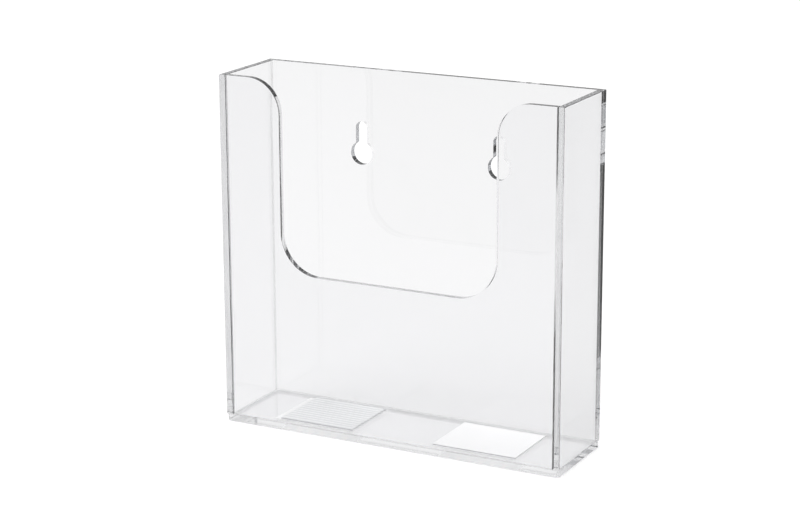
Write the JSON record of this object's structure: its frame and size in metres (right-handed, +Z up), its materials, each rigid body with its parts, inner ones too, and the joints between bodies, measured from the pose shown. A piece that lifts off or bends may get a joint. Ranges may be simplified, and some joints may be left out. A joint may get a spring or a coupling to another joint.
{
  "type": "leaflet holder",
  "caption": "Clear open-topped box of cemented sheet that holds a stack of small magazines upright, with a finger cut-out in front and keyholes for wall hanging.",
  "frame": {"origin": "middle of the underside of the base plate", "axes": "+X to the right seen from the front, +Y from the front panel towards the back panel and the wall, +Z up"},
  "size_m": [0.16, 0.043, 0.155],
  "materials": {
    "clear_sheet": "clear polished sheet",
    "cement": "thin clear film with a slight grey haze",
    "tape_adhesive": "tacky white film",
    "tape_foam": "fine grey closed-cell foam",
    "ribbed_liner": "satin release film with pressed ribs",
    "plain_liner": "smooth white coated paper"
  },
  "bodies": {
    "root": {"base_plate": "clear_sheet", "back_panel": "clear_sheet", "front_panel": "clear_sheet", "left_side_panel": "clear_sheet", "right_side_panel": "clear_sheet", "front_foot_cement": "cement", "back_foot_cement": "cement", "left_foot_cement": "cement", "right_foot_cement": "cement", "front_left_cement": "cement", "front_right_cement": "cement", "back_left_cement": "cement", "back_right_cement": "cement", "left_pad_adhesive": "tape_adhesive", "left_pad_foam": "tape_foam", "left_pad_liner": "ribbed_liner", "right_pad_adhesive": "tape_adhesive", "right_pad_foam": "tape_foam", "right_pad_liner": "plain_liner"}
  },
  "joints": []
}
